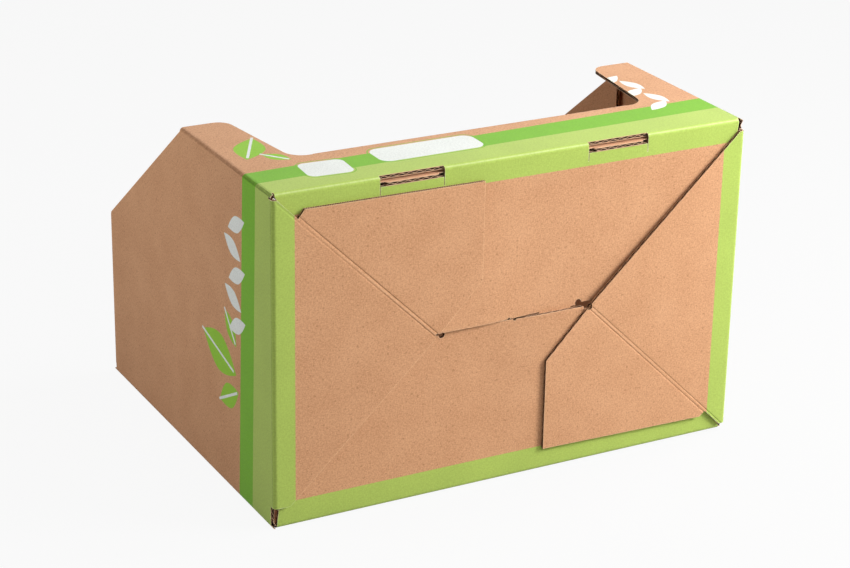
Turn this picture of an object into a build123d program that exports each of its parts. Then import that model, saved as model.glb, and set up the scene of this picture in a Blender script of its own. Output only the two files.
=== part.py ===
"""Corrugated display tray with a crash-lock bottom, folded from one die-cut blank.

The tray is folded upright, with x across the front, y from the front wall to the
back wall and z from the bottom to the open top, and is then laid on its back wall.
"""

import os

from build123d import *

# Outside sizes of the erected tray, in millimetres
width = 380.0
depth = 250.0
height = 306.0

# Corrugated board, its loose layers and its cuts
board = 2.8
layer_gap = 0.4
overrun = 20.0

# Front wall: low lip between two ears, and the slanted front edge of the side walls
lip_height = 69.0
ear_height = 158.0
ear_top_width = 35.0
ear_root_width = 46.0
ear_corner_radius = 11.0
window_corner_radius = 14.0
slant_run = 113.0

# Roll-over lining of the lip, locked into the bottom by two tabs
lip_lining_gap = 1.6
lip_lining_side_clearance = 2.0
tab_width = 41.0
tab_spacing = 166.0
tab_proud = 0.3
tab_corner_radius = 1.5
slot_side_clearance = 4.5
slot_back_clearance = 0.1
slit_length = 6.0
slit_width = 0.5

# Roll-over linings of the two side walls
side_lining_drop = 145.0
side_lining_gap = 0.6
side_lining_lean = 1.0
side_lining_inset = 2.0
side_lining_back_clearance = 2.0

# Manufacturer's joint: flap of the right wall, glued inside the back wall
glue_flap_width = 36.0
glue_flap_inset = 14.0
glue_flap_taper = 9.0

# Crash-lock bottom: corner reliefs and the two wide flaps, front and back
corner_relief = 0.8
seam_gap = 0.8
wide_flap_glued_inset = 98.0
wide_flap_free_inset = 84.0
wide_flap_shoulder = 17.0
wide_flap_shoulder_inset = 2.0
wide_flap_land = 8.0
twist_half_width = 21.0
tongue_reach = 15.0
tongue_width = 26.0
tongue_corner_radius = 9.0
notch_radius = 2.6
notch_offset = 60.5
free_notch_offset = 58.0

# Crash-lock bottom: the two narrow flaps, left and right, with their glued tabs
apex_inset = 127.5
apex_hole_radius = 2.4
glue_tab_reach = 162.5
glue_tab_margin = 14.5
glue_tab_straight = 74.0
glue_tab_corner = 5.0
glue_tab_notch = 4.8
left_flap_step = 17.0
left_flap_shoulder = 12.5
right_flap_step = 8.5
right_flap_shoulder = 4.0
crease_width = 2.2
crease_depth = 0.5
glue_spot_length = 66.0
glue_spot_width = 36.0
glue_spot_margin = 12.0

# Planes and levels that follow from the sizes above
half_width = width / 2
inner_half_width = half_width - board
mid_depth = depth / 2
lip_tangent = lip_height - board - lip_lining_gap / 2
top_tangent = height - board - side_lining_gap / 2
wide_level = board + layer_gap
wall_foot = wide_level + board
tongue_rise = board + layer_gap
seam_front = mid_depth - seam_gap / 2
hinge_half_width = inner_half_width - corner_relief
slot_back = board + lip_lining_gap + board + slot_back_clearance
slot_width = tab_width + 2 * slot_side_clearance


def folded_profile(plane, *points):
    """Return the section of the board bent along a line of inside corners."""
    with BuildSketch(plane) as section:
        with BuildLine():
            Polyline(*points)
            offset(amount=board, side=Side.LEFT)
        make_face()
    return section.sketch


def rolled_profile(plane, wall_middle, foot, turn, gap, drop, lean=0):
    """Return the section of a wall's top, rolled over inwards into a hanging lining."""
    with BuildSketch(plane) as section:
        with BuildLine():
            rise = Line((wall_middle, foot), (wall_middle, turn))
            bend = JernArc(rise @ 1, rise % 1, (board + gap) / 2, lean - 180)
            Line(bend @ 1, bend @ 1 + (bend % 1) * drop)
        trace(line_width=board)
    return section.sketch


# Four walls as one strip round the tray, from the right wall's rear end to the back wall's
with BuildPart() as walls:
    front_strip = folded_profile(
        Plane.XY.offset(wall_foot),
        (inner_half_width, depth - 2 * board),
        (inner_half_width, board),
        (-inner_half_width, board),
        (-inner_half_width, mid_depth),
    )
    extrude(front_strip, amount=height - wall_foot)
    back_strip = folded_profile(
        Plane.XY.offset(wall_foot),
        (-inner_half_width, mid_depth),
        (-inner_half_width, depth - board),
        (half_width, depth - board),
    )
    extrude(back_strip, amount=height - wall_foot)
    with BuildSketch(Plane.YZ):
        with BuildLine():
            Polyline(
                (-overrun, ear_height),
                (board, ear_height),
                (slant_run, top_tangent),
                (depth - board, top_tangent),
                (depth - board, height + overrun),
                (-overrun, height + overrun),
                close=True,
            )
        make_face()
    extrude(amount=width, both=True, mode=Mode.SUBTRACT)
    with BuildSketch(Plane.XZ) as window:
        with BuildLine():
            Polyline(
                (-half_width + ear_root_width, lip_tangent),
                (half_width - ear_root_width, lip_tangent),
                (half_width - ear_top_width, ear_height),
                (half_width + overrun, ear_height),
                (half_width + overrun, height),
                (-half_width - overrun, height),
                (-half_width - overrun, ear_height),
                (-half_width + ear_top_width, ear_height),
                close=True,
            )
        make_face()
        lip_corners = window.vertices().group_by(Axis.Y)[0]
        fillet(lip_corners, window_corner_radius)
        ear_corners = window.vertices().filter_by(
            lambda corner: abs(abs(corner.X) - half_width + ear_top_width) < layer_gap
        )
        fillet(ear_corners, ear_corner_radius)
    extrude(amount=-board, mode=Mode.SUBTRACT)

# Glue flap that closes the strip: it turns in from the right wall behind the back wall
glue_flap_foot = wall_foot + glue_flap_inset
glue_flap_top = height - glue_flap_inset
glue_flap_tip = inner_half_width - glue_flap_width
with BuildPart() as glue_flap:
    flap_section = folded_profile(
        Plane.XY.offset(glue_flap_foot),
        (glue_flap_tip, depth - 2 * board),
        (inner_half_width, depth - 2 * board),
        (inner_half_width, depth - 2 * board - overrun),
    )
    extrude(flap_section, amount=glue_flap_top - glue_flap_foot)
    with BuildSketch(Plane.XZ):
        with BuildLine():
            Polyline(
                (glue_flap_tip, glue_flap_foot + glue_flap_taper),
                (inner_half_width, glue_flap_foot),
                (half_width, glue_flap_foot),
                (half_width, glue_flap_top),
                (inner_half_width, glue_flap_top),
                (glue_flap_tip, glue_flap_top - glue_flap_taper),
                close=True,
            )
        make_face()
    extrude(amount=-depth, mode=Mode.INTERSECT)


def wide_flap(hinge_overlap):
    """Return a wide bottom flap, hinged on the front wall.

    Its left half lies flat, where a glue tab holds it. Its right half rises towards the
    middle, and ends in a tongue that passes inside the opposite flap.
    """
    loft_start = board + wide_flap_land
    glued_end = -half_width + wide_flap_glued_inset
    free_end = half_width - wide_flap_free_inset
    stations = (
        (-half_width, 0),
        (-twist_half_width, 0),
        (twist_half_width, tongue_rise),
        (half_width, tongue_rise),
    )
    with BuildPart() as flap:
        for (start, start_rise), (end, end_rise) in zip(stations, stations[1:]):
            with BuildSketch(Plane.XZ.offset(-loft_start)):
                with BuildLine():
                    Polyline(
                        (start, wide_level),
                        (end, wide_level),
                        (end, wide_level + board),
                        (start, wide_level + board),
                        close=True,
                    )
                make_face()
            with BuildSketch(Plane.XZ.offset(-seam_front)):
                with BuildLine():
                    Polyline(
                        (start, wide_level + start_rise),
                        (end, wide_level + end_rise),
                        (end, wide_level + end_rise + board),
                        (start, wide_level + start_rise + board),
                        close=True,
                    )
                make_face()
            loft(ruled=True)
        land = folded_profile(
            Plane.YZ.offset(-hinge_half_width),
            (loft_start, wide_level + board),
            (board, wide_level + board),
            (board, wall_foot + hinge_overlap),
        )
        extrude(land, amount=2 * hinge_half_width)
        with BuildSketch():
            with BuildLine():
                Polyline(
                    (-hinge_half_width, -overrun),
                    (-hinge_half_width, board),
                    (glued_end, seam_front),
                    (free_end, seam_front),
                    (hinge_half_width - wide_flap_shoulder_inset, board + wide_flap_shoulder),
                    (hinge_half_width, board),
                    (hinge_half_width, -overrun),
                    close=True,
                )
            make_face()
            with Locations((-notch_offset, seam_front), (free_notch_offset, seam_front)):
                Circle(notch_radius, mode=Mode.SUBTRACT)
        extrude(amount=height, mode=Mode.INTERSECT)
        with BuildSketch(Plane.XY.offset(wide_level + tongue_rise)) as tongue:
            with Locations((twist_half_width + board, seam_front - wide_flap_land)):
                Rectangle(
                    tongue_width,
                    tongue_reach + seam_gap / 2 + wide_flap_land,
                    align=(Align.MIN, Align.MIN),
                )
            fillet(tongue.vertices().group_by(Axis.Y)[-1], tongue_corner_radius)
            with BuildLine():
                Polyline(
                    (-half_width, seam_front),
                    (half_width, seam_front),
                    (half_width, seam_front - overrun),
                    (-half_width, seam_front - overrun),
                    close=True,
                )
            make_face(mode=Mode.SUBTRACT)
        extrude(amount=board)
    return flap.part


def narrow_flap(step, shoulder, hinge_overlap):
    """Return a narrow bottom flap, hinged on the left wall, with its creased glue tab."""
    hinge_front = board + corner_relief
    crease_start = glue_tab_margin + glue_tab_notch
    tab_end = -half_width + glue_tab_reach
    apex = (-half_width + apex_inset, mid_depth)
    tab_straight_end = glue_tab_margin + glue_tab_straight
    with BuildPart() as flap:
        section = folded_profile(
            Plane.XZ,
            (tab_end + overrun, board),
            (-inner_half_width, board),
            (-inner_half_width, wall_foot + hinge_overlap),
        )
        extrude(section, amount=-depth)
        with BuildSketch():
            with BuildLine():
                Polyline(
                    (-half_width, hinge_front),
                    (-half_width + hinge_front, hinge_front),
                    (-half_width + crease_start, crease_start),
                    (-half_width + crease_start + glue_tab_corner, glue_tab_margin),
                    (tab_end, glue_tab_margin),
                    (tab_end, tab_straight_end),
                    apex,
                    (-half_width + shoulder, depth - step),
                    (-half_width, depth - step),
                    close=True,
                )
            make_face()
            with Locations(apex):
                Circle(apex_hole_radius, mode=Mode.SUBTRACT)
        extrude(amount=height, mode=Mode.INTERSECT)
        with BuildSketch():
            with BuildLine() as crease:
                Line((-half_width + crease_start, crease_start), apex)
            trace(crease.line, crease_width)
        extrude(amount=crease_depth, mode=Mode.SUBTRACT)
    return flap.part


def glue_spot():
    """Return the glue between the left narrow flap's tab and the front wide flap."""
    with BuildPart() as spot:
        with BuildSketch(Plane.XY.offset(board)):
            with Locations(
                (
                    -half_width + glue_tab_reach - glue_spot_margin,
                    glue_tab_margin + glue_spot_margin,
                )
            ):
                Rectangle(glue_spot_length, glue_spot_width, align=(Align.MAX, Align.MIN))
        extrude(amount=layer_gap)
    return spot.part


def half_turn(flap):
    """Return a bottom flap turned half round the tray's upright middle axis."""
    return flap.rotate(Axis((0, mid_depth, 0), (0, 0, 1)), 180)


def side_lining():
    """Return the left wall's lining, rolled over the top edge and hanging inside."""
    lining_foot = height - side_lining_drop
    lining_back = depth - 2 * board - side_lining_back_clearance
    slope = (slant_run - board) / (top_tangent - ear_height)
    foot_front = board + side_lining_inset + slope * (lining_foot - ear_height)
    with BuildPart() as lining:
        section = rolled_profile(
            Plane.XZ,
            -half_width + board / 2,
            top_tangent - overrun,
            top_tangent,
            side_lining_gap,
            top_tangent - lining_foot,
            side_lining_lean,
        )
        extrude(section, amount=-depth)
        with BuildSketch(Plane.YZ):
            with BuildLine():
                Polyline(
                    (foot_front, lining_foot - overrun),
                    (foot_front, lining_foot),
                    (slant_run + side_lining_inset, top_tangent),
                    (slant_run + side_lining_inset, height),
                    (lining_back, height),
                    (lining_back, lining_foot - overrun),
                    close=True,
                )
            make_face()
        extrude(amount=-width, mode=Mode.INTERSECT)
    return lining.part


# Walls and bottom flaps, with the two slots cut across the front fold
with BuildPart() as shell:
    add(walls.part)
    add(glue_flap.part)
    add(wide_flap(overrun))
    add(half_turn(wide_flap(overrun)))
    with BuildSketch(Plane.XZ.offset(overrun)):
        with GridLocations(tab_spacing, 0, 2, 1):
            Rectangle(slot_width, 2 * wall_foot)
    extrude(amount=-overrun - slot_back, mode=Mode.SUBTRACT)
    with BuildSketch():
        with Locations((0, slot_back + slit_length / 2)):
            with GridLocations(tab_spacing, 0, 2, 1):
                with GridLocations(slot_width - slit_width, 0, 2, 1):
                    Rectangle(slit_width, slit_length + slit_width)
    extrude(amount=wall_foot, mode=Mode.SUBTRACT)
    add(narrow_flap(left_flap_step, left_flap_shoulder, overrun))
    add(half_turn(narrow_flap(right_flap_step, right_flap_shoulder, overrun)))
    add(glue_spot())
    add(half_turn(glue_spot()))

# Lip lining: rolled over the lip, down to the bottom, with two tabs in the slots
lining_half_width = (
    half_width - ear_root_width - window_corner_radius - lip_lining_side_clearance
)
lining_face = board + lip_lining_gap
lining_foot_level = wall_foot + layer_gap
tab_length = lining_foot_level - wide_level + tab_proud
with BuildPart() as lip_lining:
    lip_section = rolled_profile(
        Plane.YZ.offset(-lining_half_width),
        board / 2,
        lip_tangent - overrun,
        lip_tangent,
        lip_lining_gap,
        lip_tangent - lining_foot_level,
    )
    extrude(lip_section, amount=2 * lining_half_width)
    with BuildSketch(Plane.XZ.offset(-lining_face)) as tabs:
        with Locations((0, lining_foot_level)):
            with GridLocations(tab_spacing, 0, 2, 1):
                Rectangle(tab_width, 2 * tab_length)
        fillet(tabs.vertices().group_by(Axis.Y)[0], tab_corner_radius)
    extrude(amount=-board)

# The whole blank, folded
with BuildPart() as folded:
    add(shell.part)
    add(lip_lining.part)
    add(side_lining())
    add(side_lining().mirror(Plane.YZ))

# Laid on its back wall: the tray's bottom faces -Y and its front wall is on top
laid_down = Plane(origin=(0, -height / 2, depth), x_dir=(1, 0, 0), z_dir=(0, 1, 0))
with BuildPart() as tray:
    add(folded.part.moved(laid_down.location))

tray.part.label = "tray"
os.makedirs("parts", exist_ok=True)
export_step(tray.part, "parts/tray.step")
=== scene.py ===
"""Dresses a cardboard tray box, folded from one die-cut blank of corrugated board.

The blank is drawn flat, in millimetres, with s along the wall strip, t up the walls and
h out of the printed side. Its two liners and the fluting at its cut edges are made flat,
then bent along the fold lines, so that the print, the flutes and the cuts stay where the
board carries them. The front wall stays where it is drawn, and the rest folds behind it.
"""

import logging
import math
from collections.abc import Callable
from dataclasses import dataclass, field
from enum import Enum
from functools import cache

import bmesh
import bpy
from bmesh.types import BMEdge, BMesh, BMVert
from bpy.types import Material, NodeSocket, NodeTree, Object
from mathutils import Euler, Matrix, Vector


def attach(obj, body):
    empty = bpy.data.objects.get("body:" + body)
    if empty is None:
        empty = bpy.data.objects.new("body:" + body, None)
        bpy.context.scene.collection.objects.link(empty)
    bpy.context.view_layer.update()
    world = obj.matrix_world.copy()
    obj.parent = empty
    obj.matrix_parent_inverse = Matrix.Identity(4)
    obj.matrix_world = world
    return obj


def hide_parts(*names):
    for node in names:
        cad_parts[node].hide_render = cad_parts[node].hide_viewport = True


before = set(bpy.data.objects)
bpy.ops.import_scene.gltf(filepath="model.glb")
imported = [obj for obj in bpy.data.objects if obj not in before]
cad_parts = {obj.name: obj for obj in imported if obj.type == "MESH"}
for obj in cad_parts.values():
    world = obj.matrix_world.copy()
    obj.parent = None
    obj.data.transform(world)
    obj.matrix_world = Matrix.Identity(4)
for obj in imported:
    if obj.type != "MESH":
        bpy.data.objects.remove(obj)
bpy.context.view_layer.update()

LOG = logging.getLogger("tray")
NODE = "tray"
BODY = "root"
MILLIMETRE = 0.001
WELD = 0.001
NEAR = WELD * 10
CORNER_STEPS = 8
NOTCH_STEPS = 8
FREE_NOTCH_STEPS = 12
APEX_STEPS = 14
SMOOTH_ANGLE = math.radians(32)

Point = tuple[float, float]
Triple = tuple[float, float, float]
Colour = tuple[float, float, float, float]
Region = Callable[[float, float], bool]
EdgeBins = dict[int, list[tuple[Vector, Vector]]]


class Side(Enum):
    """The way a fold leads away from its line."""

    LEFT = "left"
    RIGHT = "right"
    DOWN = "down"
    UP = "up"


@dataclass(frozen=True)
class Board:
    """Corrugated board: two liners with a fluted medium between them."""

    thickness: float = 2.8
    liner: float = 0.38
    medium: float = 0.4
    flute_pitch: float = 6.8
    flute_steps: int = 8
    flute_reach: float = 6.0
    flute_clearance: float = 0.3
    bin_width: float = 10.0
    fold_steps: int = 8
    rim: float = 0.4

    @property
    def half(self) -> float:
        """Half of the board's thickness."""
        return self.thickness / 2

    @property
    def flute_height(self) -> float:
        """Height of a flute above the board's middle."""
        return self.half - self.liner - self.medium

    @property
    def flute_step(self) -> float:
        """Distance between two points along a flute's wave."""
        return self.flute_pitch / self.flute_steps

    def quarter_turn(self) -> float:
        """Length of the board's middle round a square fold."""
        return math.pi / 2 * self.half


@dataclass(frozen=True)
class TraySizes:
    """Sizes of the folded tray in millimetres: the solid's, with finer notches, tab edges and tab roots."""

    width: float = 380.0
    depth: float = 250.0
    height: float = 306.0
    wall_foot: float = 6.0
    post_foot: float = 3.0
    lip: float = 65.4
    lip_gap: float = 1.6
    lip_lining_foot: float = 6.1
    lip_lining_half: float = 128.0
    ear_height: float = 158.0
    ear_top: float = 35.0
    ear_root: float = 46.0
    ear_round: float = 11.0
    window_round: float = 14.0
    slant_run: float = 113.0
    side_top: float = 302.9
    side_gap: float = 0.6
    side_lean: float = 1.0
    side_lining_foot: float = 161.0
    side_lining_front: float = 7.08
    side_lining_roll: float = 115.0
    side_lining_back: float = 242.4
    glue_width: float = 36.0
    glue_foot: float = 20.0
    glue_top: float = 292.0
    glue_taper: float = 9.0
    tab_place: float = 83.0
    tab_half: float = 20.5
    tab_length: float = 3.5
    root_half: float = 24.7
    root_length: float = 1.3
    tab_round: float = 1.5
    slot_half: float = 25.0
    slot_back: float = 7.3
    slit_end: float = 13.55
    slit_width: float = 0.5
    hinge_half: float = 186.4
    shoulder_half: float = 184.4
    shoulder_end: float = 19.8
    seam: float = 124.6
    glued_end: float = -92.0
    free_end: float = 106.0
    glued_notch: float = -62.0
    free_notch: float = 56.4
    free_notch_end: float = 69.0
    free_notch_depth: float = 1.8
    middle_notch: float = -2.5
    notch_radius: float = 2.6
    middle_radius: float = 1.3
    tongue_start: float = 23.8
    tongue_end: float = 49.8
    tongue_tip: float = 139.6
    tongue_round: float = 9.0
    twist_half: float = 21.0
    rise: float = 3.2
    rise_start: float = 10.8
    narrow_level: float = 2.8
    narrow_hinge: float = 3.6
    crease_start: float = 19.3
    tab_corner: float = 5.0
    tab_tooth: float = 0.9
    tab_tooth_depth: float = 0.3
    left_margin: Point = (12.9, 14.2)
    right_margin: Point = (15.2, 17.6)
    tab_reach: float = 162.5
    tab_straight: float = 88.5
    apex_reach: float = 127.5
    apex_depth: float = 125.0
    apex_hole: float = 2.4
    left_end: float = 233.0
    left_shoulder: float = 12.5
    right_end: float = 241.5
    right_shoulder: float = 4.0


def arc_points(centre: Point, radius: float, start: float, end: float, steps: int) -> list[Point]:
    """Returns points along an arc.

    Args:
        centre: Middle of the arc.
        radius: Its radius.
        start: Angle of the first point, in degrees.
        end: Angle of the last point, in degrees.
        steps: Number of chords.

    Returns:
        The points from start to end.
    """
    angles = [math.radians(start + (end - start) * i / steps) for i in range(steps + 1)]
    return [(centre[0] + radius * math.cos(a), centre[1] + radius * math.sin(a)) for a in angles]


@dataclass
class FlatBlank:
    """The die-cut blank, drawn flat as one sheet of panels that share their fold lines."""

    board: Board
    sizes: TraySizes
    sheet: BMesh = field(default_factory=bmesh.new)

    def __post_init__(self) -> None:
        """Works out where each wall lies along the strip."""
        turn = self.board.quarter_turn()
        inner_width = self.sizes.width - 2 * self.board.thickness
        side = self.sizes.depth - 2 * self.board.thickness
        self.turn = turn
        self.front = (0.0, inner_width)
        self.right = (inner_width + turn, inner_width + turn + side - self.board.thickness)
        self.left = (-turn - side, -turn)
        self.back = (self.left[0] - turn - inner_width - self.board.thickness, self.left[0] - turn)
        self.mid_front = inner_width / 2
        self.half_turn_shift = self.back[0] + self.board.thickness - self.front[0]

    def on_left(self, y: float) -> float:
        """Place along the strip of a depth y on the left wall."""
        return self.left[1] - (y - self.board.thickness)

    def on_right(self, y: float) -> float:
        """Place along the strip of a depth y on the right wall."""
        return self.right[0] + (y - self.board.thickness)

    def on_front(self, x: float) -> float:
        """Place along the strip of a distance x from the tray's middle on the front wall."""
        return self.mid_front + x

    def flap_level(self, hinge: float, reach: float) -> float:
        """Place up the strip of a bottom flap's point, at a reach in from the outer face."""
        return hinge - self.turn - (reach - self.board.thickness)

    def panel(self, points: list[Point]) -> None:
        """Adds one panel with this outline to the sheet, with its printed side up."""
        face = self.sheet.faces.new([self.sheet.verts.new((s, t, 0)) for s, t in points])
        face.normal_update()
        if face.normal.z < 0:
            face.normal_flip()

    def round_corners(self, corners: list[Point], radius: float) -> None:
        """Rounds corners of the panels' outlines.

        Args:
            corners: The corners' places.
            radius: Radius of the rounding.
        """
        for corner in corners:
            place = Vector((corner[0], corner[1], 0))
            vert = min(self.sheet.verts, key=lambda v: (v.co - place).length)
            sides = [(edge.other_vert(vert).co - vert.co).normalized() for edge in vert.link_edges]
            reach = radius / math.tan(sides[0].angle(sides[1]) / 2)
            bmesh.ops.bevel(
                self.sheet, geom=[vert], offset=reach, offset_type="OFFSET", affect="VERTICES",
                segments=CORNER_STEPS, profile=0.5, material=-1,
            )

    def draw(self) -> None:
        """Draws every panel and welds them along their fold lines."""
        self.draw_walls()
        self.draw_wide_flap(0.0, slots=True)
        self.draw_wide_flap(self.half_turn_shift, slots=False)
        z = self.sizes
        self.draw_narrow_flap(0.0, (z.left_shoulder, z.left_end), z.left_margin, z.narrow_hinge)
        rear = self.on_left(0) - self.half_turn_shift - self.right[1]
        self.draw_narrow_flap(-self.half_turn_shift, (z.right_shoulder, z.right_end), z.right_margin, rear)
        self.draw_linings()
        bmesh.ops.remove_doubles(self.sheet, verts=self.sheet.verts, dist=WELD)

    def draw_walls(self) -> None:
        """Draws the strip of four walls and the glue flap."""
        z = self.sizes
        foot = z.wall_foot
        slots = [self.on_front(side * z.tab_place + end * z.slot_half) for side in (-1, 1) for end in (-1, 1)]
        hinge = [self.on_front(-z.hinge_half), self.on_front(z.hinge_half)]
        feet = [
            self.back[0], hinge[0] + self.half_turn_shift, hinge[1] + self.half_turn_shift, self.back[1],
            self.left[0], self.on_left(z.left_end), self.on_left(z.narrow_hinge), self.left[1],
            self.front[0], hinge[0], *slots, hinge[1], self.front[1],
            self.right[0], self.on_right(z.depth - z.right_end), self.right[1],
        ]
        ears = [(self.on_front(side * (z.width / 2 - z.ear_top)), z.ear_height) for side in (-1, 1)]
        lips = [(self.on_front(side * (z.width / 2 - z.ear_root)), z.lip) for side in (-1, 1)]
        lining = [self.on_front(-z.lip_lining_half), self.on_front(z.lip_lining_half)]
        tops = [
            (self.right[1], z.glue_foot), (self.right[1], z.glue_top), (self.right[1], z.side_top),
            (self.on_right(z.side_lining_back), z.side_top), (self.on_right(z.side_lining_roll), z.side_top),
            (self.on_right(z.slant_run), z.side_top), (self.right[0], z.ear_height),
            (self.front[1], z.ear_height), ears[1], lips[1],
            (lining[1], z.lip), (lining[0], z.lip), lips[0], ears[0],
            (self.front[0], z.ear_height), (self.left[1], z.ear_height),
            (self.on_left(z.slant_run), z.side_top), (self.on_left(z.side_lining_roll), z.side_top),
            (self.on_left(z.side_lining_back), z.side_top), (self.left[0], z.side_top),
            (self.left[0], z.height), (self.back[1], z.height), (self.back[0], z.height),
        ]
        outline: list[Point] = []
        for s, after in zip(feet, feet[1:] + [self.right[1]]):
            outline.append((s, foot))
            if s in (self.back[1], self.left[1], self.front[1]):
                step = self.turn / self.board.fold_steps
                near, far = s + step, after - step
                outline += [(near, foot), (near, z.post_foot), (far, z.post_foot), (far, foot)]
        self.panel(outline + tops)
        self.round_corners(ears, z.ear_round)
        self.round_corners(lips, z.window_round)
        near, far = self.right[1], self.right[1] + self.turn
        self.panel([
            (near, z.glue_foot), (far, z.glue_foot), (far + z.glue_width, z.glue_foot + z.glue_taper),
            (far + z.glue_width, z.glue_top - z.glue_taper), (far, z.glue_top), (near, z.glue_top),
        ])

    def draw_wide_flap(self, shift: float, slots: bool) -> None:
        """Draws a wide bottom flap with its notches and tongue.

        Args:
            shift: Distance along the strip from the front flap's place.
            slots: Whether the lip lining's slots and slits cut its fold.
        """
        z = self.sizes
        foot = z.wall_foot

        def place(x: float, y: float) -> Point:
            """The flap's point at x across and y in from the wall's outer face."""
            return self.on_front(x) + shift, self.flap_level(foot, y)

        thick = self.board.thickness
        notches = [
            arc_points(place(x, z.seam), radius, 180, 0, NOTCH_STEPS)
            for x, radius in ((z.glued_notch, z.notch_radius), (z.middle_notch, z.middle_radius))
        ]
        notch_level = z.seam - z.free_notch_depth
        free_start = 180 + math.degrees(math.asin(z.free_notch_depth / z.notch_radius))
        middle = place(z.free_notch, notch_level)
        notches.append(arc_points(middle, z.notch_radius, free_start, 0, FREE_NOTCH_STEPS))
        tongue = [place(z.tongue_end, z.tongue_tip), place(z.tongue_start, z.tongue_tip)]
        outline = [
            (place(-z.hinge_half, 0)[0], foot), place(-z.hinge_half, thick), place(z.glued_end, z.seam),
            *notches[0], *notches[1], place(z.tongue_start, z.seam), tongue[1],
            tongue[0], place(z.tongue_end, z.seam), *notches[2],
            place(z.free_notch_end, notch_level), place(z.free_notch_end, z.seam),
            place(z.free_end, z.seam), place(z.shoulder_half, z.shoulder_end), place(z.hinge_half, thick),
            (place(z.hinge_half, 0)[0], foot),
        ]
        for middle in (z.tab_place, -z.tab_place) if slots else ():
            right, left = middle + z.slot_half, middle - z.slot_half
            outline += [
                (place(right, 0)[0], foot), place(right, z.slit_end), place(right - z.slit_width, z.slit_end),
                place(right - z.slit_width, z.slot_back), place(left + z.slit_width, z.slot_back),
                place(left + z.slit_width, z.slit_end), place(left, z.slit_end), (place(left, 0)[0], foot),
            ]
        self.panel(outline)
        self.round_corners(tongue, z.tongue_round)

    def narrow_place(self, shift: float, reach: float, y: float) -> Point:
        """Place of a narrow flap's point, at a reach in from the wall and y from the front."""
        return self.on_left(y) + shift, self.flap_level(self.sizes.narrow_level, reach)

    def draw_narrow_flap(self, shift: float, corner: Point, margin: Point, hinge: float) -> None:
        """Draws a narrow bottom flap with its glue tab.

        Args:
            shift: Distance along the strip from the left flap's place.
            corner: The flap's corner at the hinge's end: reach in from the wall, and depth.
            margin: The tab edge's distance from the tray's edge, at its crease and at its end.
            hinge: Where the hinge starts.
        """
        z = self.sizes
        shoulder, end = corner

        def place(reach: float, y: float) -> Point:
            """The flap's point at a reach in from the wall's outer face."""
            return self.narrow_place(shift, reach, y)

        apex = place(z.apex_reach, z.apex_depth)
        before = Vector(place(z.tab_reach, z.tab_straight)) - Vector(apex)
        after = Vector(place(shoulder, end)) - Vector(apex)
        start = math.degrees(math.atan2(before.y, before.x))
        stop = math.degrees(math.atan2(after.y, after.x))
        crease = z.crease_start
        teeth = int((z.tab_reach - crease - z.tab_corner) / z.tab_tooth / 2) * 2
        tooth = (z.tab_reach - crease - z.tab_corner) / teeth
        self.panel([
            (place(0, hinge)[0], z.wall_foot), place(self.board.thickness, hinge), place(hinge, hinge),
            place(crease, crease),
            *(place(crease + z.tab_corner + tooth * i,
                    margin[0] + (margin[1] - margin[0]) * i / teeth + i % 2 * z.tab_tooth_depth)
              for i in range(teeth + 1)),
            place(z.tab_reach, z.tab_straight),
            *arc_points(apex, z.apex_hole, start, stop if stop > start else stop + 360, APEX_STEPS),
            place(shoulder, end), place(self.board.thickness, end), (place(0, end)[0], z.wall_foot),
        ])

    def draw_linings(self) -> None:
        """Draws the lip lining with its tabs, and the two side linings."""
        z = self.sizes
        foot = z.lip + math.pi * (self.board.thickness + z.lip_gap) / 2 + z.lip - z.lip_lining_foot
        ends = self.on_front(-z.lip_lining_half), self.on_front(z.lip_lining_half)
        outline = [(ends[0], z.lip), (ends[1], z.lip), (ends[1], foot)]
        tips: list[Point] = []
        for middle in (z.tab_place, -z.tab_place):
            right, left = self.on_front(middle + z.tab_half), self.on_front(middle - z.tab_half)
            roots = self.on_front(middle + z.root_half), self.on_front(middle - z.root_half)
            root = foot + z.root_length
            tips += [(right, foot + z.tab_length), (left, foot + z.tab_length)]
            outline += [(roots[0], foot), (roots[0], root), (right, root), *tips[-2:]]
            outline += [(left, root), (roots[1], root), (roots[1], foot)]
        outline.append((ends[0], foot))
        self.panel(outline)
        self.round_corners(tips, z.tab_round)
        roll = math.pi * (1 - z.side_lean / 180) * (self.board.thickness + z.side_gap) / 2
        top = z.side_top + roll
        foot = top + z.side_top - z.side_lining_foot
        for place in (self.on_left, self.on_right):
            self.panel([
                (place(z.side_lining_roll), z.side_top), (place(z.side_lining_back), z.side_top),
                (place(z.side_lining_back), foot), (place(z.side_lining_front), foot),
                (place(z.side_lining_roll), top),
            ])

    def cut(self, point: Point, normal: Point, region: Region) -> None:
        """Scores a straight line across the panels of a region, to bend the sheet there.

        Args:
            point: A point on the line.
            normal: The line's normal.
            region: Tells whether a place on the sheet belongs to the region.
        """
        faces = [f for f in self.sheet.faces if region(*f.calc_center_bounds().xy)]
        edges = {edge for face in faces for edge in face.edges}
        verts = {vert for face in faces for vert in face.verts}
        bmesh.ops.bisect_plane(
            self.sheet, geom=[*faces, *edges, *verts], dist=WELD / 10,
            plane_co=(point[0], point[1], 0), plane_no=(normal[0], normal[1], 0),
        )


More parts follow.
